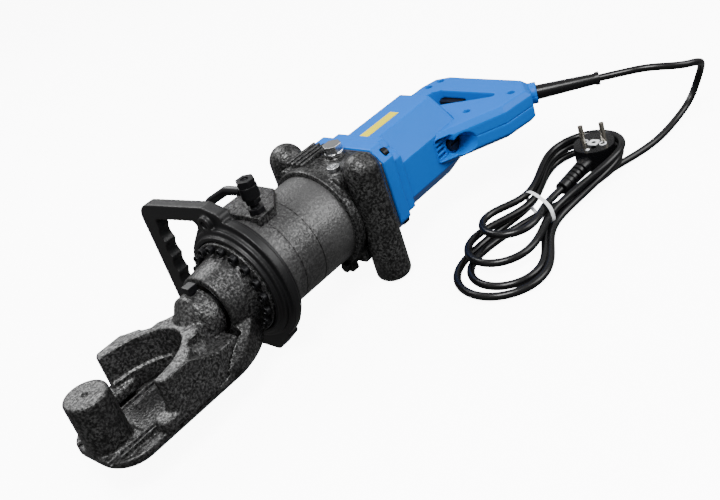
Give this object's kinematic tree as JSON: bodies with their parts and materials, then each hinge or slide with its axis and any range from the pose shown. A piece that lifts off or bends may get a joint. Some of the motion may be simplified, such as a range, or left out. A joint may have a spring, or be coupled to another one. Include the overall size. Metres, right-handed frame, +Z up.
{
  "type": "electro-hydraulic rebar bender",
  "caption": "Hand-held electro-hydraulic rebar bender: a ram pushes a U-shaped fork past a fixed post, with a pump, motor, D-handles and a tied mains lead.",
  "frame": {"origin": "middle of the tool's footprint at floor height, without the mains lead", "axes": "+X along the cylinder towards the bending head, +Z up, +Y towards the lead's side"},
  "size_m": [0.6368, 0.308, 0.147],
  "materials": {
    "hammertone": "dark grey hammertone paint",
    "fork_paint": "dark grey paint over a forged surface",
    "black_handle": "satin black",
    "black_oxide": "black oxide",
    "bright_steel": "zinc plated or ground",
    "gland_bronze": "machined bronze",
    "seal_rubber": "matt",
    "blue_shell": "glossy bright blue",
    "laminated_steel": "stacked laminations",
    "copper": "enamelled copper",
    "cast_aluminium": "die cast",
    "black_plastic": "moulded black plastic",
    "carbon": "pressed carbon",
    "yellow_strip": "plain yellow film",
    "cord_rubber": "glossy black sheath",
    "white_tie": "white plastic tie",
    "nickel": "nickel plated"
  },
  "bodies": {
    "tool": {"head_frame": "hammertone", "cylinder_barrel": "hammertone", "pump_body": "hammertone", "pump_end_plate": "hammertone", "reservoir_near": "hammertone", "reservoir_far": "hammertone", "port_block": "hammertone", "head_screws": "black_oxide", "gear_case_screws": "black_oxide", "handle_screws": "black_oxide", "pump_lug_screw": "black_oxide", "rear_port_fitting": "black_oxide", "banjo_bolt": "black_oxide", "front_port_fitting": "black_oxide", "hydraulic_pipe": "black_oxide", "reservoir_plugs": "black_oxide", "oil_filler_plug": "bright_steel", "relief_valve_screw": "bright_steel", "pump_plungers": "bright_steel", "check_valve_balls": "bright_steel", "cam_bearing_front": "bright_steel", "cam_bearing_rear": "bright_steel", "front_motor_bearing": "bright_steel", "rear_motor_bearing": "bright_steel", "rod_gland": "gland_bronze", "gear_case": "blue_shell", "motor_housing": "blue_shell", "handle_top_shell": "blue_shell", "handle_bottom_shell": "blue_shell", "stator_core": "laminated_steel", "field_windings": "copper", "bearing_spider": "cast_aluminium", "brush_holders": "black_plastic", "brush_caps": "black_plastic", "switch_body": "black_plastic", "cord_clamp": "black_plastic", "carbon_brushes": "carbon", "warning_strip": "yellow_strip", "strain_relief": "cord_rubber", "cord_lead": "cord_rubber", "cord_hank": "cord_rubber", "plug_body": "cord_rubber", "cable_tie": "white_tie", "plug_pins": "nickel"},
    "ram": {"piston": "bright_steel", "piston_seal": "seal_rubber", "piston_rod": "bright_steel", "bending_fork": "fork_paint", "fork_screw": "black_oxide"},
    "front_grip": {"front_handle": "black_handle", "handle_clamp_screw": "black_oxide"},
    "rotor": {"armature_shaft": "bright_steel", "armature_core": "laminated_steel", "commutator": "copper", "cooling_fan": "black_plastic"},
    "cam": {"eccentric_shaft": "bright_steel", "eccentric_bearing": "bright_steel", "drive_gear": "bright_steel"},
    "trigger_pad": {"trigger": "black_plastic"},
    "lock_on": {"lock_button": "black_plastic"}
  },
  "joints": [
    {"name": "ram_slide", "type": "slide", "parent": "tool", "child": "ram", "axis": [1, 0, 0], "range_m": [0, 0.058]},
    {"name": "front_handle_turn", "type": "hinge", "parent": "tool", "child": "front_grip", "pos_m": [0.0805, 0.012, 0.068], "axis": [1, 0, 0], "range_deg": [-120, 0]},
    {"name": "armature_spin", "type": "hinge", "parent": "tool", "child": "rotor", "pos_m": [-0.1315, 0.012, 0.066], "axis": [1, 0, 0], "continuous": true},
    {"name": "cam_spin", "type": "hinge", "parent": "tool", "child": "cam", "pos_m": [-0.0355, 0.012, 0.086], "axis": [1, 0, 0], "continuous": true},
    {"name": "trigger_pull", "type": "slide", "parent": "tool", "child": "trigger_pad", "axis": [-1, 0, 0], "range_m": [0, 0.005], "stiffness_N_per_m": 900, "springref_m": -0.004},
    {"name": "lock_button_press", "type": "slide", "parent": "tool", "child": "lock_on", "axis": [0, 0, 1], "range_m": [0, 0.003], "stiffness_N_per_m": 600, "springref_m": -0.002}
  ],
  "couplings": [
    {"joint": "cam_spin", "follows": "armature_spin", "ratio": -0.33333}
  ]
}
